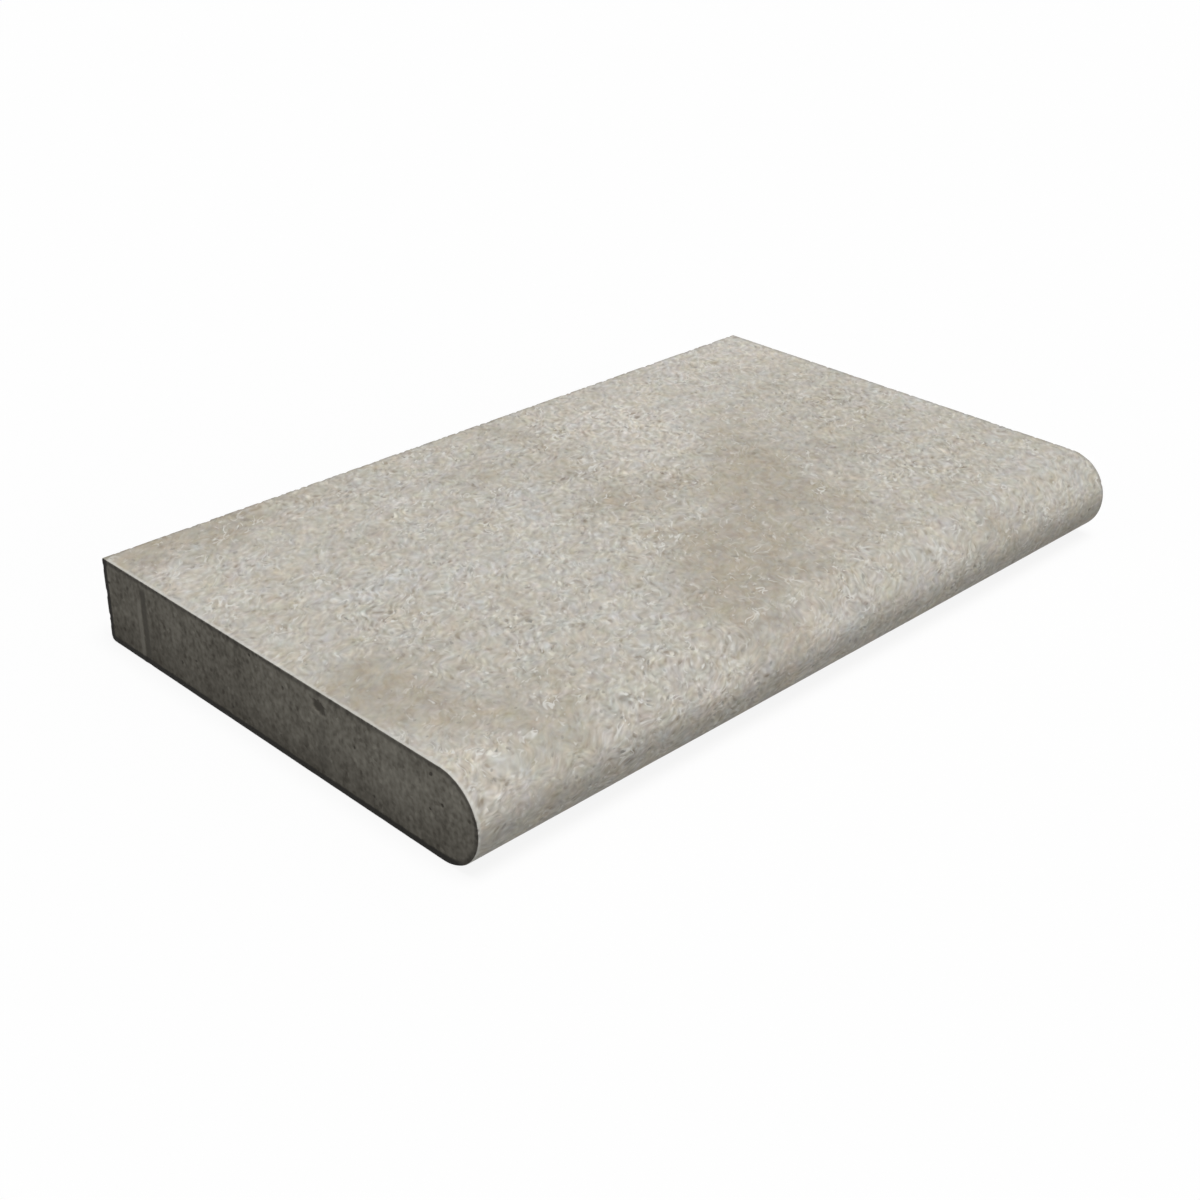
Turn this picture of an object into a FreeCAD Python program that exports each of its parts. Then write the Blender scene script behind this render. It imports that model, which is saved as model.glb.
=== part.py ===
import FreeCAD, Part
import math
import os
import Sketcher

# Bullnose tile, cast in one piece: a flat slab whose front long edge is a full half round.
# X runs along the nose, the nose points to -Y, the square back to +Y, and +Z is up.
# The origin is the middle of the tile's outline, on the plane that the bed lies on.

# Driving dimensions in millimetres: alias, value, meaning
SIZES = [
    ("tile_length", 500.0, "along the nose, from end face to end face"),
    ("tile_width", 300.0, "from the tip of the nose to the back face"),
    ("tile_thickness", 50.0, "from the bed to the top, and the diameter of the half-round nose"),
    ("back_arris_radius", 1.5, "round on the long edge between the top and the back face"),
    ("heel_radius", 3.0, "round on the long edge between the bed and the back face"),
    ("end_arris_radius", 0.8, "round on the edge of each end face, all the way round the section"),
]

NODE = "bullnose_tile"

HORIZONTAL_AXIS = -1
START, END, CENTRE = 1, 2, 3


def add_sizes(doc):
    """The sheet with the driving dimensions, one row each."""
    sheet = doc.addObject("Spreadsheet::Sheet", "Sizes")
    for row, (alias, value, meaning) in enumerate(SIZES, start=1):
        sheet.set(f"A{row}", alias)
        sheet.set(f"B{row}", str(value))
        sheet.setAlias(f"B{row}", alias)
        sheet.set(f"C{row}", meaning)
    doc.recompute()
    return sheet


def origin_plane(body, role):
    """One of the body's own origin planes."""
    return next(plane for plane in body.Origin.OriginFeatures if plane.Role == role)


def bind(sketch, index, name, expression):
    """Names a sketch dimension and ties it to the sheet."""
    sketch.renameConstraint(index, name)
    sketch.setExpression(f"Constraints.{name}", expression)


def add_section(body, sheet):
    """The tile's section across its length: bed, heel round, back, back arris, top and nose.

    In this sketch x is the tile's Y and y is its Z. Each piece of the outline runs into the
    next one without a corner, and the nose is the half circle that touches the bed and the top.
    """
    width = sheet.tile_width
    thickness = sheet.tile_thickness
    heel = sheet.heel_radius
    arris = sheet.back_arris_radius
    nose = thickness / 2
    front = -width / 2 + nose
    back = width / 2

    sketch = body.newObject("Sketcher::SketchObject", "Section")
    sketch.AttachmentSupport = (origin_plane(body, "YZ_Plane"), "")
    sketch.MapMode = "FlatFace"

    def line(x1, y1, x2, y2):
        return sketch.addGeometry(Part.LineSegment(FreeCAD.Vector(x1, y1), FreeCAD.Vector(x2, y2)))

    def arc(x, y, radius, from_degrees, to_degrees):
        circle = Part.Circle(FreeCAD.Vector(x, y), FreeCAD.Vector(0, 0, 1), radius)
        limits = math.radians(from_degrees), math.radians(to_degrees)
        return sketch.addGeometry(Part.ArcOfCircle(circle, *limits))

    bed = line(front, 0, back - heel, 0)
    heel_round = arc(back - heel, heel, heel, -90, 0)
    back_face = line(back, heel, back, thickness - arris)
    back_arris = arc(back - arris, thickness - arris, arris, 0, 90)
    top = line(back - arris, thickness, front, thickness)
    nose_round = arc(front, nose, nose, 90, 270)

    outline = [bed, heel_round, back_face, back_arris, top, nose_round]
    for piece, following in zip(outline, outline[1:] + outline[:1]):
        sketch.addConstraint(Sketcher.Constraint("Tangent", piece, END, following, START))
    sketch.addConstraint(Sketcher.Constraint("Horizontal", bed))
    sketch.addConstraint(Sketcher.Constraint("Horizontal", top))
    sketch.addConstraint(Sketcher.Constraint("Vertical", back_face))
    sketch.addConstraint(Sketcher.Constraint("PointOnObject", bed, START, HORIZONTAL_AXIS))

    index = sketch.addConstraint(Sketcher.Constraint("Radius", heel_round, heel))
    bind(sketch, index, "heel", "Sizes.heel_radius")
    index = sketch.addConstraint(Sketcher.Constraint("Radius", back_arris, arris))
    bind(sketch, index, "back_arris", "Sizes.back_arris_radius")
    index = sketch.addConstraint(Sketcher.Constraint("Radius", nose_round, nose))
    bind(sketch, index, "nose", "Sizes.tile_thickness / 2")
    origin = (HORIZONTAL_AXIS, START)
    index = sketch.addConstraint(Sketcher.Constraint("DistanceX", *origin, back_face, START, back))
    bind(sketch, index, "back", "Sizes.tile_width / 2")
    index = sketch.addConstraint(Sketcher.Constraint("DistanceX", nose_round, CENTRE, *origin, -front))
    bind(sketch, index, "nose_centre", "Sizes.tile_width / 2 - Sizes.tile_thickness / 2")
    return sketch


def end_edges(solid, half_length):
    """Names of the edges that lie in either end face."""
    names = []
    for number, edge in enumerate(solid.Edges, start=1):
        box = edge.BoundBox
        in_plane = box.XLength < 1e-6
        if in_plane and abs(abs(box.Center.x) - half_length) < 1e-6:
            names.append(f"Edge{number}")
    return names


def make_tile(doc, sheet):
    """The tile: its section along the whole length, then the round on both ends' edges."""
    body = doc.addObject("PartDesign::Body", "Tile")
    body.Label = NODE

    section = add_section(body, sheet)
    slab = body.newObject("PartDesign::Pad", "Slab")
    slab.Profile = section
    slab.SideType = "Symmetric"
    slab.setExpression("Length", "Sizes.tile_length")
    doc.recompute()

    arrises = body.newObject("PartDesign::Fillet", "EndArrises")
    arrises.Base = (slab, end_edges(slab.Shape, sheet.tile_length / 2))
    arrises.setExpression("Radius", "Sizes.end_arris_radius")
    body.Tip = arrises
    doc.recompute()

    body.Placement = FreeCAD.Placement()
    return body


def check(doc, body):
    """Stops before anything is written if a step failed."""
    for item in doc.Objects:
        if "Invalid" in item.State or "Error" in item.State:
            raise RuntimeError(f"{item.Name} is {item.State}")
    if body.Shape.isNull() or not body.Shape.isValid() or len(body.Shape.Solids) != 1:
        raise RuntimeError(f"{body.Label} is not one valid solid")


def main():
    doc = FreeCAD.newDocument("BullnoseTile")
    sheet = add_sizes(doc)
    tile = make_tile(doc, sheet)
    doc.recompute()
    check(doc, tile)
    os.makedirs("parts", exist_ok=True)
    tile.Shape.exportStep(f"parts/{tile.Label}.step")
    box = tile.Shape.optimalBoundingBox(False, False)
    print(f"{tile.Label}: {box.XLength:.2f} x {box.YLength:.2f} x {box.ZLength:.2f} mm")
    print(f"bottom at {box.ZMin:.3f}, volume {tile.Shape.Volume / 1e6:.4f} litres")
    print(f"section fully constrained: {doc.getObject('Section').FullyConstrained}")


main()
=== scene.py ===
"""Bullnose tile in cast stone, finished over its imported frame, on a plain pale stage."""

import math
import random

import bmesh
import bpy
import numpy as np
from bpy.props import FloatProperty, FloatVectorProperty, IntProperty, PointerProperty
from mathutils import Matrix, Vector, kdtree, noise


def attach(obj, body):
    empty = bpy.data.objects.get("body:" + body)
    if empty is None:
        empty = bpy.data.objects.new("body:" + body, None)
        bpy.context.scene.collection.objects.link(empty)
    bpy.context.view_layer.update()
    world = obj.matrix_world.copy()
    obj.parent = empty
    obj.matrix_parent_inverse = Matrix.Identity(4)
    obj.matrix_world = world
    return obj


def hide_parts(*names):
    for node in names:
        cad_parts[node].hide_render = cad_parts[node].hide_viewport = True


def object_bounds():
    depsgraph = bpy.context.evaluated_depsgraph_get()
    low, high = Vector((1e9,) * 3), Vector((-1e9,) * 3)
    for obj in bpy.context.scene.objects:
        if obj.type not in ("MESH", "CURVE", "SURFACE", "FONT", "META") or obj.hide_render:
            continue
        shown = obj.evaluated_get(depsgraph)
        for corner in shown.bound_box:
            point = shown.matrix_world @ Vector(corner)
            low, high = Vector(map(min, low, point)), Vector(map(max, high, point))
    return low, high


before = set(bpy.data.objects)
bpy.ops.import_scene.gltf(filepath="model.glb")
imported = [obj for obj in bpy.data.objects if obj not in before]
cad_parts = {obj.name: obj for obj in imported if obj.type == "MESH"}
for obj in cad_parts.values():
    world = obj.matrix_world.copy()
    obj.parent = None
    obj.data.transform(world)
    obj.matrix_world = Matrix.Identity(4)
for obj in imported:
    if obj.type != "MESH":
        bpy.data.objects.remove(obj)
CAD_BOX = [list(corner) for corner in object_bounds()]

bl_info = {
    "name": "Bullnose tile",
    "version": (1, 0, 0),
    "blender": (4, 5, 0),
    "location": "3D View > Sidebar > Bullnose tile",
    "description": "Finishes a cast stone bullnose tile and sets it on a plain stage",
    "category": "Add Mesh",
}

NODE = "bullnose_tile"
MM = 0.001
WHITE = (1, 1, 1)
PALE_FACE = 0
RAW_SIDE = 1

# How the mesh is cut: points closer than this are one, and steps round and along the section. The
# grid of an end face has a corner six steps down the nose, where it bears no chips.
TOUCHING = 1e-6
NOSE_STEPS = 26
BACK_STEPS = 12
ARRIS_STEPS = 2
GRID_CORNER = math.radians(180 * 6 / NOSE_STEPS)
SMOOTHINGS = 30

# Chips along the top of each end, up each corner of the back, and along the back arris.
END_CHIPS = 44
CORNER_CHIPS = 6
BACK_CHIPS = 90

# How deep the skin lies under the ideal face, in millimetres, and its waves: height, size, octaves.
TOP_SKIN = (0.13, ((0.045, 30, 3), (0.035, 8, 3), (0.02, 3.5, 1)))
END_SKIN = (0.20, ((0.07, 24, 3), (0.05, 7, 3)))
BED_SKIN = (0.12, ((0.06, 40, 3), (0.05, 12, 3)))
LEAST_DEPTH = 0.065

# The pock and the larger blowholes of the left end: from the back, height, radius, depth, all in
# millimetres, stretch, and turn in degrees.
LEFT_END_PITS = [
    (188, 41, 4.8, 1.2, 1.25, 20),
    (276, 30, 1.2, 0.6, 1.0, 0),
    (133, 46, 1.1, 0.6, 1.0, 0),
    (214, 31, 1.0, 0.4, 1.0, 0),
    (84, 22, 0.9, 0.4, 1.0, 0),
]

# How the grain of the pale face lies: its turn, how it is drawn out, and the size and reach of its
# curls in millimetres.
GRAIN_TURN = math.radians(-44)
GRAIN_SHAPE = (0.54, 1.0, 1.3)
CURL_SIZE = 15
CURL_REACH = 10

# Where the camera stands, in metres, and how it is turned, in degrees.
CAMERA_PLACE = (-0.66402, -0.63608, 0.48529)
CAMERA_TURN = (61.6843, -0.64214, -44.66693)


# Sizes and colours that a user may change.

def measure(name, description, default, **limits):
    """A number."""
    return FloatProperty(name=name, description=description, default=default, **limits)


def distance(name, description, default, **limits):
    """A length."""
    return measure(name, description, default, unit="LENGTH", **limits)


def degrees(name, description, default):
    """An angle, with its default in degrees."""
    return measure(name, description, math.radians(default), subtype="ANGLE")


def colour(name, description, default):
    """A colour."""
    return FloatVectorProperty(
        name=name, description=description, default=default, size=3, subtype="COLOR", min=0, max=1)


class TileSizes(bpy.types.PropertyGroup):
    """Sizes of the tile and of the relief on its faces."""
    length: distance("Length", "Along the nose, from end to end", 2 * CAD_BOX[1][0], min=0.1)
    width: distance("Width", "From the tip of the nose to the back", 2 * CAD_BOX[1][1], min=0.1)
    thickness: distance("Thickness", "From the bed to the top, and the diameter of the nose",
                        CAD_BOX[1][2], min=0.01)
    back_arris: distance("Back arris", "Round on the long edge between the top and the back", 1.5 * MM)
    heel: distance("Heel", "Round on the long edge between the bed and the back", 3.0 * MM)
    end_arris: distance("End arris", "Round on the edge of both end faces", 0.8 * MM)
    grid: distance("Grid", "Spacing of the coarse grid that the faces are cut into", 5.0 * MM)
    pit_count: IntProperty(
        name="Pits", description="Pits in the top and the nose", default=380, min=0, max=900)
    pit_radius: distance("Pit radius", "Middle radius of a pit in the top", 1.15 * MM)
    pit_depth: distance("Pit depth", "Middle depth of a pit in the top", 0.45 * MM)
    mould_line: distance("Mould line", "From the back to the mould line on the end faces", 35.3 * MM)
    seed: IntProperty(
        name="Seed", description="Another number lays out the pits and chips another way", default=11)


class TileColours(bpy.types.PropertyGroup):
    """Colours of the pale face and of the raw sides."""
    pale: colour("Pale stone", "Most of the top and the nose", (0.498, 0.469, 0.413))
    taupe: colour("Taupe cloud", "The warmer, smoother clouds in the pale face", (0.412, 0.374, 0.312))
    cream: colour("Cream cloud", "The palest, warm clouds in the pale face", (0.558, 0.522, 0.466))
    cool: colour("Cool cloud", "Bluish white clouds in the pale face", (0.530, 0.513, 0.478))
    # the fleck colour also paints the highlight along the left arris of the pale face
    fleck_and_highlight: colour("Fleck and highlight", "Short white hair lines", (0.68, 0.67, 0.63))
    # the speck colour also paints shade in the bottoms of pits in the pale face
    speck_and_pit_shade: colour("Speck and pit shade", "Small dark grains and the bottoms of pits", (0.27, 0.26, 0.235))
    raw: colour("Raw concrete", "Ends, back and bed", (0.262, 0.244, 0.205))
    # the laitance colour also paints the highlight on the ridge of the mould line
    laitance_and_highlight: colour("Laitance and highlight", "Paler film on the raw concrete", (0.40, 0.376, 0.325))
    # the damp colour also paints the shade in the groove of the mould line and in the bottoms of pits
    # in the raw sides
    damp_and_shade: colour("Damp and shade", "Darker marks on the raw concrete", (0.115, 0.106, 0.088))
    # painted shade along the edges of the raw concrete, darkest at the bed
    painted_edge_shade: colour("Painted edge shade", "What gathers along the edges of the raw concrete", (0.022, 0.02, 0.017))


class StageSettings(bpy.types.PropertyGroup):
    """Floor, light and camera."""
    floor: colour("Floor", "Pale floor", (0.97, 0.97, 0.97))
    bounce: colour("Floor bounce", "What the floor gives back to the tile", (0.26, 0.26, 0.257))
    show_through: measure("Lightbox", "How much of the floor's white is its own light", 0.88,
                          min=0, max=1, subtype="FACTOR")
    sky: measure("Sky", "Even light from all round", 0.215, min=0, max=2)
    key: measure("Key", "Strength of the soft main light from above", 2.25, min=0)
    key_height: degrees("Key height", "Height of the main light over the floor", 79)
    key_spread: degrees("Key spread", "How soft the main light's shadow is", 32)
    fill: measure("Fill", "Strength of the soft low light from the nose's side", 1.1, min=0)
    fill_height: degrees("Fill height", "Height of the low light over the floor", 4)
    fill_spread: degrees("Fill spread", "How soft the low light's shadow is", 50)
    lens: measure("Lens", "Focal length on a 36 mm sensor", 54.288, min=10)


# Helpers for shader nodes.

class Board:
    """Places nodes in a tree, in the order that they are made, and joins them."""

    ROWS = 6
    COLUMN_WIDTH = 220
    ROW_HEIGHT = 190

    def __init__(self, tree):
        self.tree = tree
        self.count = 0

    def join(self, value, socket):
        """Links a socket or sets a value. A colour of three numbers gets its alpha."""
        if isinstance(value, bpy.types.NodeSocket):
            self.tree.links.new(value, socket)
        elif hasattr(socket.default_value, "__len__") and len(socket.default_value) == 4:
            socket.default_value = (*value, 1) if len(value) == 3 else value
        else:
            socket.default_value = value

    def node(self, kind, inputs=None, **settings):
        node = self.tree.nodes.new("ShaderNode" + kind)
        column, row = divmod(self.count, self.ROWS)
        node.location = (column * self.COLUMN_WIDTH, -row * self.ROW_HEIGHT)
        self.count += 1
        for name, value in settings.items():
            setattr(node, name, value)
        for name, value in (inputs or {}).items():
            self.join(value, node.inputs[name])
        return node

    def math(self, operation, *values, clamp=False):
        node = self.node("Math", dict(enumerate(values)), operation=operation, use_clamp=clamp)
        return node.outputs[0]

    def times(self, first, *others):
        """The product of all values."""
        for value in others:
            first = self.math("MULTIPLY", first, value)
        return first

    def add(self, base, value, amount):
        """A base with an amount of a value added."""
        return self.math("MULTIPLY_ADD", value, amount, base)

    def vector(self, operation, *values):
        return self.node("VectorMath", dict(enumerate(values)), operation=operation).outputs[0]

    def scaled(self, vector, scale):
        return self.node("VectorMath", {0: vector, "Scale": scale}, operation="SCALE").outputs[0]

    def split(self, vector):
        return self.node("SeparateXYZ", {0: vector}).outputs

    def channels(self, colour):
        return self.node("SeparateColor", {0: colour}).outputs

    def ramp(self, value, low, high, to_low=0.0, to_high=1.0, smooth=True):
        """Value from low to high, turned into to_low to to_high."""
        kind = "SMOOTHSTEP" if smooth else "LINEAR"
        values = {0: value, 1: low, 2: high, 3: to_low, 4: to_high}
        return self.node("MapRange", values, interpolation_type=kind).outputs[0]

    def band(self, value, start, full, fade, gone):
        """1 from full to fade, and 0 before start and past gone."""
        return self.times(self.ramp(value, start, full), self.ramp(value, gone, fade))

    def paint(self, tone, *coats):
        """A colour with others laid over it in turn, each with its share."""
        for share, colour in coats:
            tone = self.node("Mix", {0: share, 6: tone, 7: colour}, data_type="RGBA").outputs[2]
        return tone

    def cast(self, tone, *casts):
        """A colour whose red, green and blue are raised in turn, each by its part of an amount."""
        for amount, lean in casts:
            factors = self.vector("ADD", self.scaled(lean, amount), (1, 1, 1))
            tone = self.vector("MULTIPLY", tone, factors)
        return tone

    def noise(self, vector, size, detail=2.0, rough=0.5, warp=0.0, output="Fac"):
        """Noise with waves of a size in millimetres, from about 0 to 1, as a number or a colour."""
        values = {"Vector": vector, "Scale": 1 / size, "Detail": detail, "Roughness": rough,
                  "Distortion": warp}
        return self.node("TexNoise", values).outputs[output]

    def swing(self, vector, size, detail=2.0, rough=0.5, warp=0.0):
        """The same noise, from about -1 to 1."""
        return self.add(-1.0, self.noise(vector, size, detail, rough, warp), 2.0)

    def curled(self, place, size, reach):
        """A place moved to and fro by noise with waves of a size."""
        way = self.vector("SUBTRACT", self.noise(place, size, 1.0, output="Color"), (0.5, 0.5, 0.5))
        return self.vector("ADD", place, self.scaled(way, reach))

    def attribute(self, name):
        return self.node("Attribute", attribute_name=name).outputs["Fac"]

    def place_in_mm(self):
        """The piece's own coordinates in millimetres."""
        coordinates = self.node("TexCoord").outputs["Object"]
        return self.node("Mapping", {"Vector": coordinates, "Scale": (1000, 1000, 1000)}).outputs[0]

    def backdrop_rays(self):
        """1 for the rays that show the backdrop: to the eye, in a gloss and through glass."""
        path = self.node("LightPath").outputs
        indirect = self.math("MAXIMUM", path["Is Glossy Ray"], path["Is Transmission Ray"])
        return self.math("MAXIMUM", path["Is Camera Ray"], indirect)

    def use(self, group, inputs):
        node = self.node("Group", node_tree=group)
        for name, value in inputs.items():
            self.join(value, node.inputs[name])
        return node.outputs[0]

    def spots(self, groups, place, shift, spacing, radius, share):
        """The scattered spots, laid out anew by a shift."""
        shifted = self.vector("ADD", place, shift)
        return self.use(groups["spots"], {"Place": shifted, "Spacing": spacing, "Radius": radius,
                                          "Share": share})


def new_group(name, output, inputs):
    """An empty shader group, with its board and sockets: a place and numbers go in, one comes out."""
    tree = bpy.data.node_groups.new(name, "ShaderNodeTree")
    tree.interface.new_socket("Place", in_out="INPUT", socket_type="NodeSocketVector")
    for label, default in inputs.items():
        socket = tree.interface.new_socket(label, in_out="INPUT", socket_type="NodeSocketFloat")
        socket.default_value = default
    tree.interface.new_socket(output, in_out="OUTPUT", socket_type="NodeSocketFloat")
    entry = tree.nodes.new("NodeGroupInput")
    entry.location = (-220, 0)
    way_out = tree.nodes.new("NodeGroupOutput")
    way_out.location = (1600, 0)
    return tree, Board(tree), entry.outputs, way_out.inputs[0]


# Finishes that both materials share.

def sand_grain():
    """Sand showing in the surface: packed grains, each lighter or darker, with finer sand between."""
    tree, board, given, out = new_group("Sand grain", "Grain", {"Size": 2.0, "Grains": 0.5})
    place = board.scaled(given["Place"], board.math("DIVIDE", 1.0, given["Size"]))
    sand = board.swing(place, 1.0, 1.0, 0.45)
    cells = board.node("TexVoronoi", {"Vector": place, "Scale": 0.85}).outputs
    lean = board.add(-1.0, board.channels(cells["Color"])[0], 2.0)
    body = board.ramp(cells["Distance"], 0.62, 0.25)
    board.join(board.math("ADD", sand, board.times(lean, body, given["Grains"])), out)
    return tree


def spots():
    """Scattered spots: a share of the cells of a grid, each with a spot of its own size."""
    tree, board, given, out = new_group(
        "Spots", "Mask", {"Spacing": 6.0, "Radius": 0.8, "Share": 0.5})
    place = board.curled(given["Place"], 1 / 0.7, 1.8)
    scale = board.math("DIVIDE", 1.0, given["Spacing"])
    cells = board.node("TexVoronoi", {"Vector": place, "Scale": scale}).outputs
    luck = board.channels(cells["Color"])
    away = board.times(cells["Distance"], given["Spacing"])
    radius = board.times(given["Radius"], board.ramp(luck[1], 0.0, 1.0, 0.5, 1.5, False))
    spot = board.ramp(board.math("DIVIDE", away, radius), 1.15, 0.55)
    chosen = board.math("LESS_THAN", luck[0], given["Share"])
    board.join(board.times(spot, chosen), out)
    return tree


def hair_lines():
    """Short curved hair lines, that gather in places."""
    tree, board, given, out = new_group(
        "Hair lines", "Mask", {"Size": 7.0, "Width": 0.03, "Share": 0.5})
    place = board.scaled(given["Place"], board.math("DIVIDE", 1.0, given["Size"]))
    level = board.math("ABSOLUTE", board.swing(place, 1.0, 1.0, 0.4, 0.4))
    line = board.ramp(board.math("DIVIDE", level, given["Width"]), 1.0, 0.2)
    piece = board.noise(board.vector("ADD", place, (9.0, 4.0, 2.0)), 0.8, 0.0)
    short = board.ramp(piece, 0.5, 0.62)
    gather = board.noise(board.vector("ADD", place, (3.0, 8.0, 5.0)), 5.0, 2.0)
    edge = board.ramp(given["Share"], 0.0, 1.0, 0.72, 0.34, False)
    cluster = board.ramp(board.math("SUBTRACT", gather, edge), 0.0, 0.12)
    board.join(board.times(line, short, cluster), out)
    return tree


def strip():
    """A strip that runs up an end face at one distance from the middle, with a wavering edge."""
    tree, board, given, out = new_group(
        "Strip", "Mask", {"Middle": 0.0, "Half width": 2.0, "Softness": 0.8, "Waver": 0.5})
    along = board.split(given["Place"])[1]
    waver = board.times(board.swing(given["Place"], 9.0, 2.0), given["Waver"])
    away = board.math("SUBTRACT", board.math("ADD", along, waver), given["Middle"])
    over = board.math("SUBTRACT", board.math("ABSOLUTE", away), given["Half width"])
    board.join(board.ramp(board.math("DIVIDE", over, given["Softness"]), 1.0, -1.0), out)
    return tree


# The clouds of the pale face: middle from the left end and from the back, half length, half width,
# turn in degrees, strength. All lengths in millimetres.
TAUPE_CLOUDS = [
    (358, 126, 24, 22, 20, 0.45),
    (344, 150, 36, 24, 40, 0.75),
    (320, 182, 40, 30, 60, 1.0),
    (292, 208, 44, 26, 25, 0.85),
    (250, 216, 42, 28, 10, 0.8),
    (224, 243, 38, 32, 40, 0.85),
    (218, 272, 50, 28, 60, 0.85),
    (338, 224, 30, 15, 85, 0.8),
    (388, 160, 40, 26, 60, 0.45),
    (414, 186, 28, 20, 0, 0.4),
    (290, 256, 46, 26, 0, 0.45),
    (350, 262, 50, 16, 0, 0.3),
    (398, 98, 32, 18, 20, 0.55),
    (436, 118, 40, 22, 0, 0.25),
    (446, 158, 28, 24, 60, 0.45),
    (486, 92, 26, 20, 0, 0.2),
    (472, 212, 14, 10, 0, 0.4),
    (402, 254, 18, 12, 0, 0.35),
    (248, 130, 30, 22, -10, 0.75),
    (272, 148, 28, 20, 0, 0.45),
    (236, 172, 20, 16, 0, 0.2),
    (258, 86, 13, 16, 60, 0.8),
    (268, 44, 13, 44, 8, 0.65),
    (222, 56, 18, 18, 0, 0.7),
    (206, 76, 26, 12, 0, 0.3),
    (14, 208, 32, 31, 10, 1.4),
    (34, 236, 30, 22, 60, 0.65),
    (54, 264, 36, 16, 20, 0.6),
    (52, 190, 26, 10, 0, 0.5),
    (88, 243, 18, 12, 0, 0.45),
    (32, 8, 60, 22, 0, 1.5),
    (76, 18, 26, 13, 20, 0.8),
    (128, 14, 20, 12, 0, 0.5),
    (150, 6, 40, 8, 0, 0.35),
    (250, 12, 80, 10, 0, 0.35),
    (42, 42, 12, 14, 0, 0.5),
    (262, 262, 16, 14, 0, 0.45),
    (190, 264, 16, 12, 0, 0.35),
    (112, 76, 30, 20, 60, 0.25),
    (165, 104, 20, 14, 70, 0.25),
    (172, 200, 22, 15, 40, 0.25),
    (40, 126, 18, 14, 0, 0.15),
    (128, 50, 36, 14, 70, 0.25),
    (190, 52, 30, 20, 0, 0.2),
    (62, 286, 26, 16, 0, 0.9),
    (395, 296, 24, 20, 0, 0.75),
    (444, 318, 40, 12, 0, 0.35),
    (474, 331, 44, 9, 0, 0.6),
    (34, 314, 40, 8, 0, 0.45),
]
CREAM_CLOUDS = [
    (318, 50, 46, 40, 40, 0.9),
    (362, 72, 40, 28, 10, 0.7),
    (410, 26, 90, 30, 0, 0.6),
    (312, 104, 36, 14, 0, 0.8),
    (318, 136, 16, 14, 0, 0.5),
    (304, 240, 18, 24, 40, 0.4),
    (400, 210, 30, 18, 20, 0.35),
    (440, 244, 44, 26, 20, 0.15),
    (222, 46, 8, 6, 0, 0.5),
    (60, 84, 24, 30, 0, 0.4),
    (136, 58, 36, 28, 0, 0.4),
    (110, 180, 36, 18, 0, 0.4),
    (488, 22, 34, 40, 0, 0.9),
    (13, 280, 17, 24, 0, 1.35),
    (14, 134, 16, 24, 0, 0.35),
    (13, 46, 15, 19, 0, 1.3),
    (160, 220, 30, 30, 0, 0.4),
    (196, 20, 50, 16, 0, 0.3),
    (221, 306, 34, 18, 0, 1.2),
    (162, 302, 26, 14, 0, 0.7),
    (336, 306, 24, 20, 0, 0.5),
    (454, 292, 30, 10, 0, 0.5),
]
COOL_CLOUDS = [
    (130, 144, 60, 26, -14, 0.75),
    (74, 122, 28, 14, 0, 0.35),
    (208, 106, 34, 20, 20, 0.9),
    (178, 168, 24, 16, 40, 0.4),
    (150, 240, 34, 30, 0, 0.35),
    (492, 150, 16, 36, 0, 0.9),
    (452, 262, 30, 16, 0, 0.5),
    (96, 38, 24, 26, 0, 0.4),
    (170, 34, 30, 24, 30, 0.5),
    (16, 84, 20, 36, 0, 0.3),
    (430, 60, 30, 20, 0, 0.3),
]
# Where the sand shows most, in the same form. A strength below 0 is a smooth zone.
BOLD_ZONES = [
    (250, 150, 600, 400, 0, 0.42),
    (100, 296, 46, 24, 0, 0.3),
    (18, 284, 20, 22, 0, 0.45),
    (60, 148, 18, 30, 0, 0.3),
    (62, 212, 24, 28, 0, 0.3),
    (112, 214, 24, 24, 0, 0.3),
    (408, 216, 32, 34, 0, 0.25),
    (282, 42, 22, 22, 0, 0.45),
    (338, 54, 14, 20, 0, 0.3),
    (276, 132, 14, 20, 0, 0.45),
    (338, 90, 14, 14, 0, 0.4),
    (452, 128, 26, 26, 0, 0.35),
    (282, 286, 20, 14, 0, 0.35),
    (165, 284, 24, 20, 0, 0.3),
    (110, 16, 60, 12, 0, 0.5),
    (325, 166, 40, 18, 0, -0.5),
    (302, 190, 30, 20, 0, -0.5),
    (245, 232, 34, 18, 0, -0.5),
    (22, 206, 20, 24, 0, -0.7),
    (378, 108, 30, 26, 0, -0.45),
    (430, 62, 50, 16, 0, -0.35),
    (165, 140, 34, 14, 0, -0.35),
    (60, 72, 50, 12, 0, -0.25),
]


# The two materials.

def new_material(name):
    """A node material with its board, its shader and its output joined."""
    material = bpy.data.materials.new(name)
    material.use_nodes = True
    material.node_tree.nodes.clear()
    board = Board(material.node_tree)
    shader = board.node("BsdfPrincipled")
    output = board.node("OutputMaterial", {"Surface": shader.outputs[0]})
    shader.location = (2600, 300)
    output.location = (2900, 300)
    return material, board, shader


def wire_shader(board, shader, tone, rough, gloss, height, depth, strength):
    """Gives the shader its colour, roughness and gloss, and a fine bump of a depth in millimetres."""
    bump = board.node("Bump", {"Height": height, "Distance": depth * MM, "Strength": strength})
    board.join(tone, shader.inputs["Base Color"])
    board.join(rough, shader.inputs["Roughness"])
    board.join(gloss, shader.inputs["Specular IOR Level"])
    board.join(bump.outputs[0], shader.inputs["Normal"])


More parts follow.
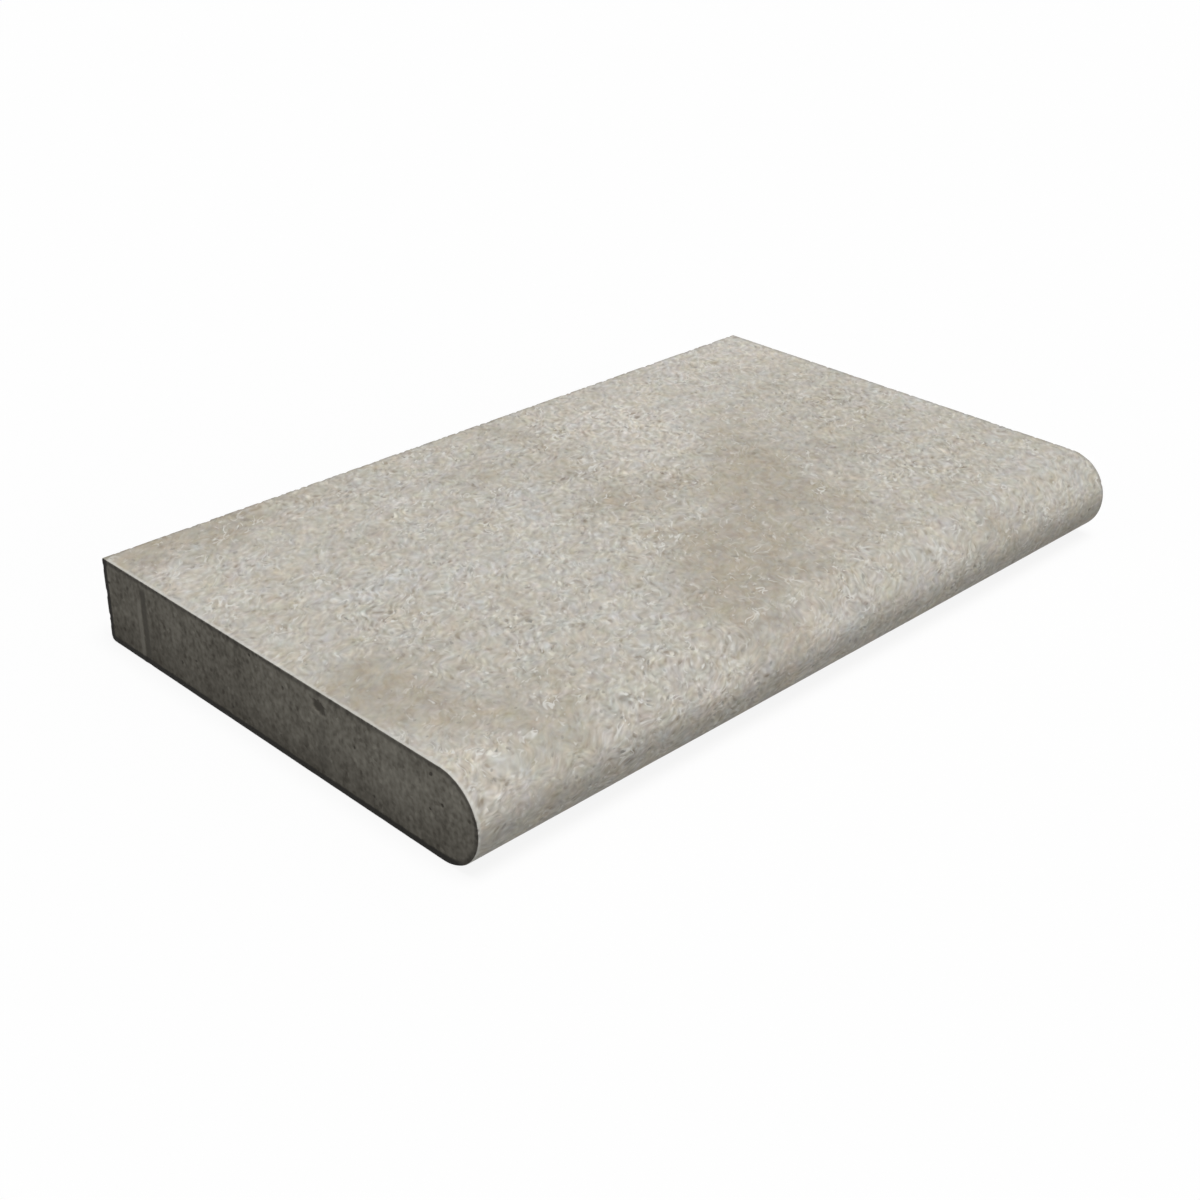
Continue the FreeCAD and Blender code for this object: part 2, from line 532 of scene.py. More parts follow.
def pale_face(groups, colours):
    """The honed pale face: clouds of stone colour, sand grain, dark specks and white hair lines."""
    material, board, shader = new_material("Pale honed stone")
    place = board.place_in_mm()
    across, along, up = board.split(place)

    # the grain is drawn out along one diagonal, and curls
    turned = board.node("VectorRotate", {"Vector": board.curled(place, CURL_SIZE, CURL_REACH),
                                         "Angle": GRAIN_TURN}, rotation_type="Z_AXIS").outputs[0]
    lying = board.vector("MULTIPLY", turned, GRAIN_SHAPE)
    grain = board.use(groups["grain"], {"Place": lying, "Size": 2.7, "Grains": 0.5})

    # clouds, with rims that fray
    fray = board.add(board.swing(place, 10.0, 3.0, 0.65), grain, 0.12)

    def cloud(name):
        mask = board.attribute(name)
        held = board.times(board.ramp(mask, 0.0, 0.35), 0.7)
        return board.math("MULTIPLY_ADD", fray, held, mask, clamp=True)

    taupe = cloud("taupe")
    tone = board.paint(colours.pale, (cloud("cream"), colours.cream), (cloud("cool"), colours.cool),
                       (taupe, colours.taupe))

    # mottling, broad and fine, of light and dark and a little of colour
    broad = board.noise(place, 14.0, 3.0, 0.6, output="Color")
    fine = board.noise(lying, 3.8, 2.0, 0.55, output="Color")
    warm, rosy, shade = board.channels(board.vector("ADD", broad, fine))
    tone = board.cast(tone, (board.math("SUBTRACT", warm, 1.0), (0.11, 0.0, -0.24)),
                      (board.math("SUBTRACT", rosy, 1.0), (0.065, -0.055, 0.02)))
    shade = board.add(-0.34, shade, 0.34)

    # grain, strong in the bold zones, weaker in the taupe clouds, and more neutral where it is light
    flock = board.noise(board.vector("ADD", place, (70, 30, 10)), 11.0, 2.0)
    flock = board.ramp(flock, 0.36, 0.64, 0.55, 1.5)
    bold = board.ramp(board.attribute("bold"), 0.0, 1.0, 0.6, 1.5, False)
    bold = board.times(bold, board.add(0.65, flock, 0.35))
    open_stone = board.times(board.ramp(taupe, 0.1, 0.8, 1.0, 0.6), bold)
    depth = board.add(shade, board.times(grain, 0.44), open_stone)
    tone = board.cast(tone, (depth, (0.91, 1.0, 1.09)))

    # salt and pepper: pale grains, white hair lines, dark grains, and painted shade in the bottoms of
    # pits
    flecked = board.times(open_stone, flock)
    salt = board.spots(groups, lying, (40, 3, 11), 3.6, 0.75, 0.5)
    specks = board.spots(groups, lying, (7, 61, 23), 4.2, 0.8, 0.5)
    lines = board.use(groups["lines"], {"Place": lying, "Size": 5.0, "Width": 0.12, "Share": 0.8})
    lines = board.times(lines, board.ramp(board.times(bold, flock), 0.5, 1.6, 0.3, 0.9, False))
    bottoms = board.ramp(board.attribute("hollow"), 0.15, 0.9, 0.0, 0.5)
    tone = board.paint(tone, (board.times(salt, 0.55, flecked), colours.fleck_and_highlight), (lines, colours.fleck_and_highlight),
                       (board.times(specks, 0.46, flecked), colours.speck_and_pit_shade), (bottoms, colours.speck_and_pit_shade))

    # painted light and shade in bands along the nose, by height over the bed: shade under its tip,
    # light at its foot over most of its length and shade there at the right end, light on its front,
    # shade on its shoulder
    height = board.add(up, board.swing(place, 22.0, 2.0), 2.5)
    under = board.band(height, 15.0, 22.0, 25.0, 31.0)
    foot_light_and_shade = board.times(board.band(height, 12.0, 16.0, 17.0, 20.0),
                       board.ramp(across, 60.0, 230.0, 0.08, -0.07))
    front_light = board.band(height, 29.0, 33.0, 40.0, 44.0)
    shoulder_shade = board.times(board.ramp(height, 39.0, 45.0), board.ramp(up, 49.6, 47.5))
    tone = board.cast(tone, (under, (-0.05, -0.05, -0.05)), (foot_light_and_shade, (1.0, 1.0, 1.0)),
                      (front_light, (0.045, 0.045, 0.045)), (shoulder_shade, (-0.055, -0.05, -0.045)))

    # a painted highlight along the left arris, and the right and the back arris a little darker
    broken = board.math("ADD", board.swing(place, 5.0, 3.0), board.attribute("arris"))
    right_or_back = board.math("MAXIMUM", board.ramp(along, 144.0, 148.0), board.ramp(across, -50.0, 50.0))
    arris_highlight = board.times(board.ramp(broken, 2.8, 0.9), board.math("SUBTRACT", 1.0, right_or_back))
    tone = board.paint(tone, (board.times(arris_highlight, 0.6), colours.fleck_and_highlight))
    rim_darkening = board.times(board.ramp(broken, 4.0, 1.2), right_or_back)
    tone = board.cast(tone, (rim_darkening, (-0.24, -0.24, -0.24)))

    rough = board.ramp(grain, -1.0, 1.0, 0.92, 0.78, False)
    wire_shader(board, shader, tone, rough, 0.35, grain, 0.05, 0.6)
    return material


def raw_side(groups, colours, sizes):
    """The raw concrete of the ends, the back and the bed, as the mould left it, with painted shade
    along its edges, in its pits and towards its back and bed, and painted light and shade on the mould
    line.
    """
    material, board, shader = new_material("Raw cast concrete")
    place = board.place_in_mm()
    across, along, up = board.split(place)

    mottle = board.swing(place, 16.0, 4.0, 0.6, 0.4)
    blotch = board.swing(board.vector("ADD", place, (50, 20, 80)), 42.0, 3.0, 0.5)
    upright = board.node("Mapping", {"Vector": place, "Scale": (1.0, 1.0, 0.12)}).outputs[0]
    streaks = board.swing(upright, 4.0, 3.0, 0.6)
    grain = board.use(groups["grain"], {"Place": place, "Size": 2.8, "Grains": 0.5})
    value = 1.0
    for marks, amount in ((mottle, 0.54), (blotch, 0.26), (streaks, 0.24), (grain, 0.52)):
        value = board.add(value, marks, amount)

    # painted shade: the ends are darker towards the back and towards the bed
    value = board.times(value, board.ramp(along, 150.0, -140.0, 0.86, 1.16, False),
                        board.ramp(board.add(up, mottle, 5.0), 0.0, 33.0, 0.6, 1.0))
    tone = board.cast(colours.raw, (board.math("SUBTRACT", value, 1.0), (0.975, 1.0, 1.035)))

    # on the ends, the mould line has a painted highlight on its ridge beside painted shade in its
    # groove, and a faint mark lies below the pock: middle, half width, softness, waver, and the
    # heights where each is gone and is full
    line = sizes.width / MM / 2 - sizes.mould_line / MM
    on_end = board.math("GREATER_THAN", board.math("ABSOLUTE", across), sizes.length / MM / 2 - 1.2)
    for middle, half_width, softness, waver, gone, full, strength, colour in (
            (line + 2.0, 1.7, 0.9, 0.35, 40.0, 34.0, 0.5, colours.laitance_and_highlight),
            (line - 2.5, 2.3, 0.9, 0.45, 46.5, 43.0, 0.92, colours.damp_and_shade),
            (-39.0, 4.0, 4.0, 1.2, 40.0, 22.0, 0.42, colours.damp_and_shade)):
        mark = board.use(groups["strip"], {"Place": place, "Middle": middle, "Half width": half_width,
                                           "Softness": softness, "Waver": waver})
        mark = board.times(mark, on_end, board.ramp(up, gone, full), strength)
        tone = board.paint(tone, (mark, colour))

    # pale sand, dark bubbles, and painted shade in the bottoms of pits
    sand = board.spots(groups, place, (13, 5, 40), 5.0, 0.7, 0.3)
    bubbles = board.spots(groups, place, (0, 0, 0), 9.0, 0.8, 0.2)
    bottoms = board.ramp(board.attribute("hollow"), 0.05, 0.7, 0.0, 0.9)
    tone = board.paint(tone, (board.times(sand, 0.35), colours.laitance_and_highlight),
                       (board.times(bubbles, 0.45), colours.damp_and_shade), (bottoms, colours.damp_and_shade))

    # painted shade along the arris, darkest along the bottom edge and at the back of the ends
    backmost = board.times(board.ramp(along, 143.5, 147.0), on_end, 1.1)
    heavy = board.math("MAXIMUM", board.ramp(up, 7.0, 3.0), backmost)
    broken = board.add(board.attribute("arris"), board.swing(place, 6.0, 3.0), 0.8)
    broken = board.add(broken, heavy, -1.9)
    painted_edge_shade = board.times(board.ramp(broken, 3.7, 1.4), board.ramp(heavy, 0.0, 1.0, 0.55, 1.0, False))
    tone = board.paint(tone, (painted_edge_shade, colours.painted_edge_shade))

    rough = board.ramp(grain, -1.0, 1.0, 0.95, 0.85, False)
    wire_shader(board, shader, tone, rough, 0.3, board.add(grain, streaks, 0.3), 0.08, 0.8)
    return material


def put(scene, name, data):
    """A new object in the scene."""
    made = bpy.data.objects.new(name, data)
    scene.collection.objects.link(made)
    return made


def finished(bm, name):
    """What has been built, as a mesh for an object."""
    mesh = bpy.data.meshes.new(name)
    bm.to_mesh(mesh)
    bm.free()
    return mesh


# The tile's mesh.

def clamp(value):
    return min(1.0, max(0.0, value))


def ease(value):
    """A share from 0 to 1, with a soft start and a soft end."""
    return value * value * (3 - 2 * value)


class Shape:
    """Where the tile's ideal surface lies, for snapping and for the relief."""

    def __init__(self, sizes):
        self.half = sizes.length / 2
        self.back = sizes.width / 2
        self.top = sizes.thickness
        self.nose = sizes.thickness / 2
        self.nose_y = -sizes.width / 2 + self.nose
        self.flat = self.back - self.nose_y
        self.heel = sizes.heel
        self.arris = sizes.back_arris
        self.heel_y = self.back - self.heel
        self.arris_y = self.back - self.arris
        self.arris_z = self.top - self.arris
        self.end = sizes.end_arris
        self.mould_y = self.back - sizes.mould_line

    def inset(self, x):
        """How far the end arris draws the section in at this place along the tile."""
        over = self.end - (self.half - abs(x))
        if over <= 0:
            return 0.0
        return self.end - math.sqrt(max(self.end ** 2 - over ** 2, 0.0))

    def snapped(self, co):
        """The point of the outer skin that belongs to a point near it."""
        inset = self.inset(co.x)
        for y, z, radius, inside in (
                (self.nose_y, self.nose, self.nose, co.y < self.nose_y),
                (self.heel_y, self.heel, self.heel, co.y > self.heel_y and co.z < self.heel),
                (self.arris_y, self.arris_z, self.arris, co.y > self.arris_y and co.z > self.arris_z)):
            if inside:
                away = math.hypot(co.y - y, co.z - z)
                pull = (radius - inset) / away
                return Vector((co.x, y + (co.y - y) * pull, z + (co.z - z) * pull))
        return co

    def to_outline(self, co):
        """Distance of a point on an end face from the edge of that face."""
        if co.y < self.nose_y:
            return self.nose - math.hypot(co.y - self.nose_y, co.z - self.nose)
        return min(co.z, self.top - co.z, self.back - co.y)

    def face_point(self, x, run):
        """Point and normal on the top and nose, a run from the back over the top and down the nose."""
        if run <= self.flat:
            return Vector((x, self.back - run, self.top)), Vector((0, 0, 1))
        angle = (run - self.flat) / self.nose
        normal = Vector((0, -math.sin(angle), math.cos(angle)))
        return Vector((x, self.nose_y, self.nose)) + self.nose * normal, normal


def run_on(bm, tip, steps, **way):
    """Runs the outline on from its tip, in equal pieces, and returns the new tip."""
    made = bmesh.ops.spin(bm, geom=[tip], axis=(1, 0, 0), steps=steps, use_duplicate=False, **way)
    return made["geom_last"][0]


def straight(bm, tip, y, z, steps):
    """Runs the outline on in a straight line to a point."""
    step = (Vector((tip.co.x, y, z)) - tip.co) / steps
    return run_on(bm, tip, steps, cent=tip.co, dvec=step, angle=0)


def turn(bm, tip, y, z, angle, steps):
    """Runs the outline on round a centre."""
    return run_on(bm, tip, steps, cent=(tip.co.x, y, z), angle=math.radians(angle))


def draw_section(bm, shape, grid):
    """The outline at the left end: bed, heel, back, back arris, top and nose, closed."""
    runs = round(shape.flat / grid)
    tip = bm.verts.new((-shape.half, shape.nose_y, 0))
    tip = straight(bm, tip, shape.heel_y, 0, runs)
    tip = turn(bm, tip, shape.heel_y, shape.heel, 90, ARRIS_STEPS)
    tip = straight(bm, tip, shape.back, shape.arris_z, BACK_STEPS)
    tip = turn(bm, tip, shape.arris_y, shape.arris_z, 90, ARRIS_STEPS)
    tip = straight(bm, tip, shape.nose_y, shape.top, runs)
    turn(bm, tip, shape.nose_y, shape.nose, 180, NOSE_STEPS)
    bmesh.ops.remove_doubles(bm, verts=bm.verts, dist=TOUCHING)


def sweep(bm, shape, grid):
    """Draws the section along the whole length."""
    steps = round(2 * shape.half / grid)
    edges = list(bm.edges)
    for _ in range(steps):
        made = bmesh.ops.extrude_edge_only(bm, edges=edges)["geom"]
        verts = [item for item in made if isinstance(item, bmesh.types.BMVert)]
        edges = [item for item in made if isinstance(item, bmesh.types.BMEdge)
                 and item.verts[0] in verts and item.verts[1] in verts]
        bmesh.ops.translate(bm, verts=verts, vec=(2 * shape.half / steps, 0, 0))


def close_end(bm, shape, side):
    """Fills an end with a grid, between the upper and the lower half of its outline."""
    rim = [edge for edge in bm.edges
           if edge.is_boundary and all(abs(v.co.x - side * shape.half) < TOUCHING for v in edge.verts)]

    def in_side(edge):
        """Whether the piece belongs to the back or to the tip of the nose."""
        middle = (edge.verts[0].co + edge.verts[1].co) / 2
        if middle.y > shape.back - shape.arris * 0.29 and middle.z > shape.nose:
            return True
        if middle.y > shape.back - shape.heel * 0.29:
            return True
        return (shape.nose_y - middle.y) / shape.nose > math.sin(GRID_CORNER) + 0.02

    chains = [edge for edge in rim if not in_side(edge)]
    outline = {vert for edge in rim for vert in edge.verts}
    made = bmesh.ops.grid_fill(bm, edges=chains, mat_nr=0, use_smooth=True)
    inner = {vert for face in made["faces"] for vert in face.verts} - outline
    for _ in range(SMOOTHINGS):
        bmesh.ops.smooth_vert(bm, verts=list(inner), factor=0.5, use_axis_y=True, use_axis_z=True)


def in_end_plane(face, shape):
    return all(abs(abs(vert.co.x) - shape.half) < TOUCHING for vert in face.verts)


def round_ends(bm, shape):
    """Rounds the edge of both end faces."""
    edges = [edge for edge in bm.edges
             if in_end_plane(edge.link_faces[0], shape) != in_end_plane(edge.link_faces[1], shape)]
    bmesh.ops.bevel(bm, geom=edges, offset=shape.end, offset_type="OFFSET", affect="EDGES",
                    segments=2, profile=0.5, material=-1)


def refine(bm, chosen, longest):
    """Halves the edges of the chosen faces that are longer than this many millimetres."""
    edges = {edge for face in bm.faces if chosen(face) for edge in face.edges
             if edge.calc_length() > longest * MM}
    bmesh.ops.subdivide_edges(bm, edges=list(edges), cuts=1, use_grid_fill=True,
                              use_single_edge=True, quad_corner_type="INNER_VERT")


class Hollow:
    """A pit, pock or chip: where it is, which way out of the stone is, and how large it is."""

    def __init__(self, middle, normal, radius, depth, stretch=1.0, turn=0.0):
        self.middle = middle
        self.normal = normal
        self.radius = radius
        self.depth = depth
        side = normal.orthogonal().normalized()
        other = normal.cross(side)
        self.long = side * math.cos(turn) + other * math.sin(turn)
        self.wide = other * math.cos(turn) - side * math.sin(turn)
        self.stretch = stretch

    def share(self, co):
        """How deep in the hollow a point is, from 0 at its ragged rim to 1."""
        away = co - self.middle
        along = away.dot(self.long) / (self.radius * self.stretch)
        across = away.dot(self.wide) / (self.radius / self.stretch)
        radius = math.hypot(along, across)
        if radius > 1.4:
            return 0.0
        ragged = radius * (1 + 0.28 * noise.noise(co / (1.3 * MM)))
        return ease(clamp((1.12 - ragged) / 0.75))


def scatter(dice, count, apart, draw_one):
    """Hollows drawn one by one, each kept only if it clears those before it by some millimetres."""
    kept = []
    tries = 0
    while len(kept) < count and tries < 40 * count:
        tries += 1
        hollow = draw_one()
        if hollow is None:
            continue
        gap = apart * MM * dice.uniform(0.35, 1.6)
        if all((hollow.middle - other.middle).length_squared > gap * gap for other in kept):
            kept.append(hollow)
    return kept


def lay_pits(shape, sizes):
    """All pits, pocks and bubbles of the tile."""
    dice = random.Random(sizes.seed)
    whole = shape.flat + math.pi * shape.nose

    def between(low, high, from_low, from_high):
        """A place between two edges, with some millimetres kept clear at both."""
        return dice.uniform(low + from_low * MM, high - from_high * MM)

    def face_pit():
        x = between(-shape.half, shape.half, 3, 3)
        middle, normal = shape.face_point(x, between(0, whole, 4, 6))
        if noise.noise(middle / (45 * MM)) + dice.uniform(-0.5, 0.5) < -0.15:
            return None
        size = dice.lognormvariate(0, 0.28)
        return Hollow(middle, normal, min(sizes.pit_radius * size, 2.3 * MM),
                      sizes.pit_depth * size * dice.uniform(0.7, 1.2),
                      dice.uniform(1.0, 1.35), dice.uniform(0, math.pi))

    def raw_pit(point, out, radii, depths):
        return Hollow(point, Vector(out), dice.uniform(*radii) * MM, dice.uniform(*depths) * MM,
                      dice.uniform(1.0, 1.3), dice.uniform(0, math.pi))

    def end_pit():
        side = dice.choice((-1, 1))
        point = Vector((side * shape.half, between(-shape.back, shape.back, 0, 0),
                        between(0, shape.top, 0, 0)))
        if shape.to_outline(point) < 4 * MM:
            return None
        return raw_pit(point, (side, 0, 0), (0.7, 1.4), (0.3, 0.7))

    def back_pit():
        point = Vector((between(-shape.half, shape.half, 4, 4), shape.back,
                        between(0, shape.top, 6, 5)))
        return raw_pit(point, (0, 1, 0), (0.8, 1.9), (0.3, 0.9))

    def bed_pit():
        point = Vector((between(-shape.half, shape.half, 6, 6),
                        between(shape.nose_y, shape.back, 8, 8), 0))
        return raw_pit(point, (0, 0, -1), (1.2, 2.8), (0.4, 1.3))

    pits = scatter(dice, sizes.pit_count, 13, face_pit)
    for from_back, height, radius, depth, stretch, angle in LEFT_END_PITS:
        point = Vector((-shape.half, shape.back - from_back * MM, height * MM))
        pits.append(Hollow(point, Vector((-1, 0, 0)), radius * MM, depth * MM, stretch,
                           math.radians(angle)))
    for count, apart, draw_one in ((18, 14, end_pit), (36, 12, back_pit), (54, 22, bed_pit)):
        pits += scatter(dice, count, apart, draw_one)
    return pits


def lay_chips(shape, sizes):
    """Small chips along the arrises of the ends and of the back."""
    dice = random.Random(sizes.seed + 1)
    chips = []
    in_end = 0.3 * shape.end
    in_arris = 0.4 * shape.arris
    corner = shape.flat + shape.nose * GRID_CORNER

    def chip(middle, out, radii, depths):
        chips.append(Hollow(middle, out.normalized(), dice.uniform(*radii) * MM,
                            dice.uniform(*depths) * MM))

    for side in (-1, 1):
        x = side * (shape.half - in_end)
        for _ in range(END_CHIPS):
            run = dice.uniform(6 * MM, shape.flat + 50 * MM)
            if abs(run - corner) < 5 * MM:
                continue
            middle, normal = shape.face_point(x, run)
            chip(middle - normal * in_end, normal + Vector((side, 0, 0)), (0.8, 1.9), (0.12, 0.5))
        for _ in range(CORNER_CHIPS):
            middle = Vector((x, shape.back - in_end, dice.uniform(5 * MM, shape.top - 4 * MM)))
            chip(middle, Vector((side, 1, 0)), (1.0, 2.4), (0.1, 0.3))
    for _ in range(BACK_CHIPS):
        middle = Vector((dice.uniform(-shape.half + 4 * MM, shape.half - 4 * MM),
                         shape.back - in_arris, shape.top - in_arris))
        chip(middle, Vector((0, 1, 1)), (0.9, 2.3), (0.15, 0.6))
    return chips


def index(hollows):
    """A search tree of the hollows' middles."""
    tree = kdtree.KDTree(len(hollows))
    for number, hollow in enumerate(hollows):
        tree.insert(hollow.middle, number)
    tree.balance()
    return tree


def skin_depth(co, depth, waves):
    """How far a point of the skin lies under the ideal face, in millimetres."""
    for height, size, octaves in waves:
        depth += height * noise.fractal(co / (size * MM), 1.0, 2.0, octaves)
    return depth


def mould_mark(co, shape):
    """Depth of the groove and of the raised line beside it, that end below the top."""
    offset = (co.y - shape.mould_y) / MM
    height = co.z / MM
    ridge = math.exp(-((offset - 2.0) / 1.3) ** 2) * clamp((40 - height) / 4)
    groove = math.exp(-((offset + 2.4) / 1.6) ** 2) * clamp((46.5 - height) / 2)
    return 0.18 * groove - 0.16 * ridge


def add_relief(bm, shape, hollows, tree):
    """Moves the skin in by its waves, its mould line and its hollows, and notes where they are."""
    hollow_layer = bm.verts.layers.float.new("hollow")
    arris_layer = bm.verts.layers.float.new("arris")
    reach = 1.5 * max(hollow.radius * hollow.stretch for hollow in hollows)
    bm.normal_update()
    moves = []
    for vert in bm.verts:
        co = vert.co
        normal = vert.normal
        ending = clamp((abs(normal.x) - 0.3) / 0.6)
        bedding = clamp((-normal.z - 0.9) / 0.1)
        depth = skin_depth(co, *TOP_SKIN)
        if ending > 0:
            end_depth = skin_depth(co, *END_SKIN) + mould_mark(co, shape)
            depth += (end_depth - depth) * ending
        if bedding > 0:
            depth += (max(0.0, skin_depth(co, *BED_SKIN)) - depth) * bedding
        move = -normal * max(depth, LEAST_DEPTH) * MM
        # where hollows meet, the deepest counts
        share = 0.0
        deepest = 0.0
        for _, number, _ in tree.find_range(co, reach):
            hollow = hollows[number]
            part = hollow.share(co)
            share = max(share, part)
            if part * hollow.depth > deepest:
                deepest = part * hollow.depth
                way = hollow.normal
        if deepest > 0:
            move -= way * deepest
        vert[hollow_layer] = share
        if ending > 0.9:
            away = shape.to_outline(co)
        else:
            away = min(shape.half - abs(co.x), max(0.0, shape.back - co.y))
        vert[arris_layer] = min(12.0, away / MM)
        moves.append((vert, move))
    for vert, move in moves:
        vert.co += move


def build_tile(sizes):
    """The tile as one closed mesh: section, sweep and ends, then finer where the relief is."""
    shape = Shape(sizes)
    bm = bmesh.new()
    draw_section(bm, shape, sizes.grid)
    sweep(bm, shape, sizes.grid)
    close_end(bm, shape, -1)
    close_end(bm, shape, 1)
    bmesh.ops.recalc_face_normals(bm, faces=bm.faces)
    round_ends(bm, shape)

    bm.normal_update()
    for face in bm.faces:
        middle = face.calc_center_median()
        end = abs(face.normal.x) > 0.75
        behind = middle.y > shape.arris_y and face.normal.z < 0.75
        under = face.normal.z < -0.6 and middle.y > shape.nose_y
        face.material_index = RAW_SIDE if end or behind or under else PALE_FACE
        face.smooth = True

    hollows = lay_pits(shape, sizes) + lay_chips(shape, sizes)
    tree = index(hollows)

    def near(face, margin):
        """Whether a face's middle is in a hollow or within some millimetres of it."""
        return any(away < hollows[number].radius * hollows[number].stretch + margin * MM
                   for _, number, away in tree.find_n(face.calc_center_median(), 3))

    def by_mould_line(face):
        return abs(face.normal.x) > 0.9 and abs(face.calc_center_median().y - shape.mould_y) < 6 * MM

    def broad(face):
        return face.material_index == PALE_FACE or abs(face.normal.x) > 0.5

    refine(bm, lambda face: broad(face) or near(face, 3.0), 2.9)
    refine(bm, lambda face: near(face, 1.4) or by_mould_line(face), 1.5)
    refine(bm, lambda face: near(face, 0.35), 0.8)
    many = [face for face in bm.faces if len(face.verts) > 4]
    bmesh.ops.triangulate(bm, faces=many, quad_method="BEAUTY", ngon_method="BEAUTY")
    for vert in bm.verts:
        if not all(in_end_plane(face, shape) for face in vert.link_faces):
            vert.co = shape.snapped(vert.co)
    add_relief(bm, shape, hollows, tree)
    bmesh.ops.recalc_face_normals(bm, faces=bm.faces)
    mesh = finished(bm, NODE + "_stone")
    lay_clouds(mesh, shape)
    return mesh


def along_face(points, shape):
    """Each point's way from the back, over the top and down the nose."""
    run = shape.back - points[:, 1]
    over = points[:, 1] < shape.nose_y
    angle = np.arctan2(shape.nose_y - points[:, 1], points[:, 2] - shape.nose)
    run[over] = shape.flat + shape.nose * angle[over]
    return run


def lay_clouds(mesh, shape):
    """Notes on the mesh how far each point lies in each kind of cloud and in the bold zones."""
    points = np.empty(len(mesh.vertices) * 3, np.float32)
    mesh.vertices.foreach_get("co", points)
    points = points.reshape(-1, 3)
    places = [Vector(point) / MM for point in points.tolist()]
    drift = np.array([noise.noise_vector(place / 30) * 8 + noise.noise_vector(place / 12) * 4
                      for place in places])
    fray = np.array([noise.fractal(place / 20, 0.6, 2.0, 4) for place in places])
    x = (points[:, 0] + shape.half) / MM + drift[:, 0]
    run = along_face(points, shape) / MM + drift[:, 1]
    for name, clouds in (("taupe", TAUPE_CLOUDS), ("cream", CREAM_CLOUDS), ("cool", COOL_CLOUDS),
                         ("bold", BOLD_ZONES)):
        total = np.zeros(len(points))
        for from_left, from_back, half_length, half_width, angle, strength in clouds:
            cos, sin = math.cos(math.radians(angle)), math.sin(math.radians(angle))
            away, down = x - from_left, from_back - run
            long = (away * cos + down * sin) / half_length
            wide = (down * cos - away * sin) / half_width
            total += strength * np.exp(-1.1 * (long ** 2 + wide ** 2))
        level = np.clip((total * (1 + 0.5 * fray) + 0.1 * fray + 0.05) / 1.3, 0, 1)
        layer = mesh.attributes.new(name, "FLOAT", "POINT")
        layer.data.foreach_set("value", ease(level).astype(np.float32))


class MakeTile(bpy.types.Operator):
    """Builds the tile's skin with its relief and its two finishes, in place of the plain solid"""
    bl_idname = "bullnose.make_tile"
    bl_label = "Bullnose tile"
    bl_options = {"REGISTER", "UNDO"}

    def execute(self, context):
        sizes = context.scene.tile_sizes
        colours = context.scene.tile_colours
        tile = put(context.scene, NODE + "_stone", build_tile(sizes))
        groups = {"grain": sand_grain(), "spots": spots(), "lines": hair_lines(), "strip": strip()}
        tile.data.materials.append(pale_face(groups, colours))
        tile.data.materials.append(raw_side(groups, colours, sizes))
        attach(tile, "root")
        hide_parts(NODE)
        return {"FINISHED"}


# The stage.

def floor_finish(settings):
    """Pale floor: white to the eye, with the tile's shadow on it, and calmer in what it gives back."""
    material, board, shader = new_material("Pale floor")
    board.tree.nodes.remove(shader)
    shaded = board.node("BsdfDiffuse", {"Color": settings.floor})
    own = board.node("Emission", {"Color": WHITE, "Strength": 1.0})
    seen = board.node("MixShader", {0: settings.show_through, 1: shaded.outputs[0], 2: own.outputs[0]})
    lit = board.node("BsdfDiffuse", {"Color": settings.bounce})
    floor = board.node("MixShader", {0: board.backdrop_rays(), 1: lit.outputs[0], 2: seen.outputs[0]})
    output = next(node for node in board.tree.nodes if node.type == "OUTPUT_MATERIAL")
    board.join(floor.outputs[0], output.inputs["Surface"])
    return material


def light_room(scene, settings):
    """Even light all round, and white where the eye looks past the floor."""
    world = bpy.data.worlds.new("Studio")
    world.use_nodes = True
    world.node_tree.nodes.clear()
    board = Board(world.node_tree)
    sky = board.node("Background", {"Color": WHITE, "Strength": settings.sky})
    white = board.node("Background", {"Color": WHITE, "Strength": 1.0})
    mixed = board.node("MixShader", {0: board.backdrop_rays(), 1: sky.outputs[0], 2: white.outputs[0]})
    board.node("OutputWorld", {"Surface": mixed.outputs[0]})
    scene.world = world


def hang_lamp(scene, name, strength, height, spread):
    """A wide, even light that comes in over the nose from a height."""
    lamp = bpy.data.lights.new(name, "SUN")
    lamp.energy = strength
    lamp.angle = spread
    source = Vector((0, -math.cos(height), math.sin(height)))
    hung = put(scene, name, lamp)
    hung.rotation_euler = source.to_track_quat("Z", "Y").to_euler()
    hung.location = source * 2


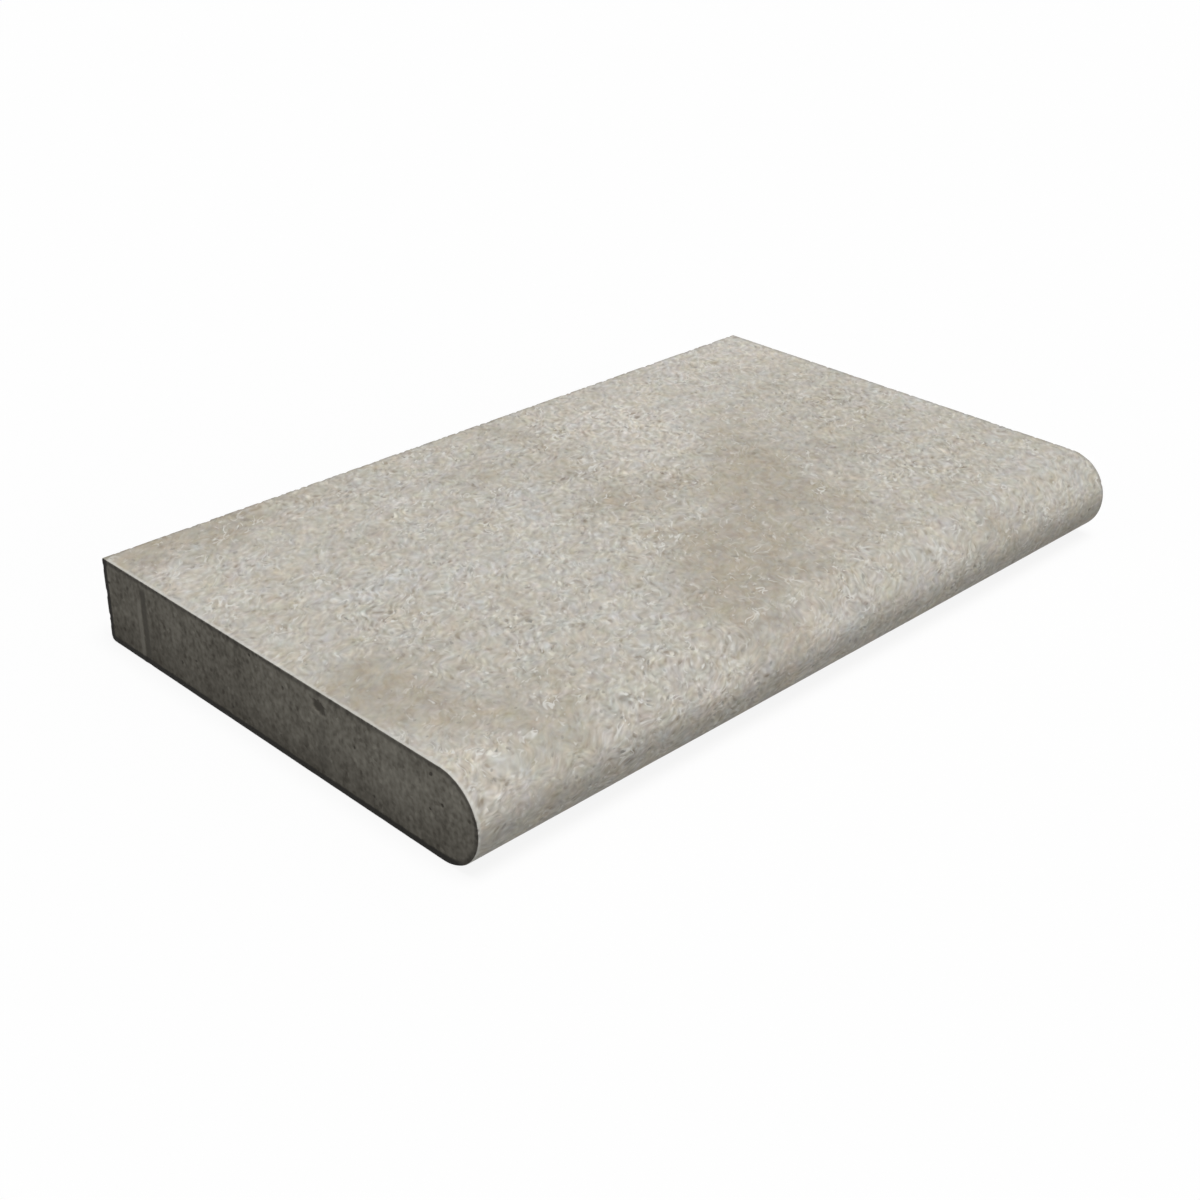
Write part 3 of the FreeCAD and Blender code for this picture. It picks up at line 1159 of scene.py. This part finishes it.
class MakeStage(bpy.types.Operator):
    """Lays the pale floor, and sets the light and the camera"""
    bl_idname = "bullnose.make_stage"
    bl_label = "Stage"
    bl_options = {"REGISTER", "UNDO"}

    def execute(self, context):
        scene = context.scene
        settings = scene.stage_settings
        bm = bmesh.new()
        bmesh.ops.create_circle(bm, cap_ends=True, segments=96, radius=14)
        mesh = finished(bm, "floor")
        floor = put(scene, "floor", mesh)
        mesh.materials.append(floor_finish(settings))

        light_room(scene, settings)
        hang_lamp(scene, "Key", settings.key, settings.key_height, settings.key_spread)
        hang_lamp(scene, "Fill", settings.fill, settings.fill_height, settings.fill_spread)

        view = bpy.data.cameras.new("View")
        view.sensor_width = 36
        view.lens = settings.lens
        view.clip_start = 0.01
        camera = put(scene, "View", view)
        camera.location = CAMERA_PLACE
        camera.rotation_euler = [math.radians(angle) for angle in CAMERA_TURN]
        scene.camera = camera
        scene.view_settings.view_transform = "Standard"
        return {"FINISHED"}


class TilePanel(bpy.types.Panel):
    """Lists the tile's sizes and colours, and makes the tile and its stage"""
    bl_idname = "VIEW3D_PT_bullnose_tile"
    bl_label = "Bullnose tile"
    bl_space_type = "VIEW_3D"
    bl_region_type = "UI"
    bl_category = "Bullnose tile"

    def draw(self, context):
        layout = self.layout
        scene = context.scene
        for operator, groups in ((MakeTile, (scene.tile_sizes, scene.tile_colours)),
                                 (MakeStage, (scene.stage_settings,))):
            box = layout.box()
            for group in groups:
                for name in group.bl_rna.properties.keys():
                    if name not in ("rna_type", "name"):
                        box.prop(group, name)
            box.operator(operator.bl_idname)


CLASSES = (TileSizes, TileColours, StageSettings, MakeTile, MakeStage, TilePanel)


def register():
    for item in CLASSES:
        bpy.utils.register_class(item)
    bpy.types.Scene.tile_sizes = PointerProperty(type=TileSizes)
    bpy.types.Scene.tile_colours = PointerProperty(type=TileColours)
    bpy.types.Scene.stage_settings = PointerProperty(type=StageSettings)


def unregister():
    del bpy.types.Scene.stage_settings
    del bpy.types.Scene.tile_colours
    del bpy.types.Scene.tile_sizes
    for item in reversed(CLASSES):
        bpy.utils.unregister_class(item)


def main():
    register()
    bpy.ops.bullnose.make_tile()
    bpy.ops.bullnose.make_stage()


if __name__ == "__main__":
    main()
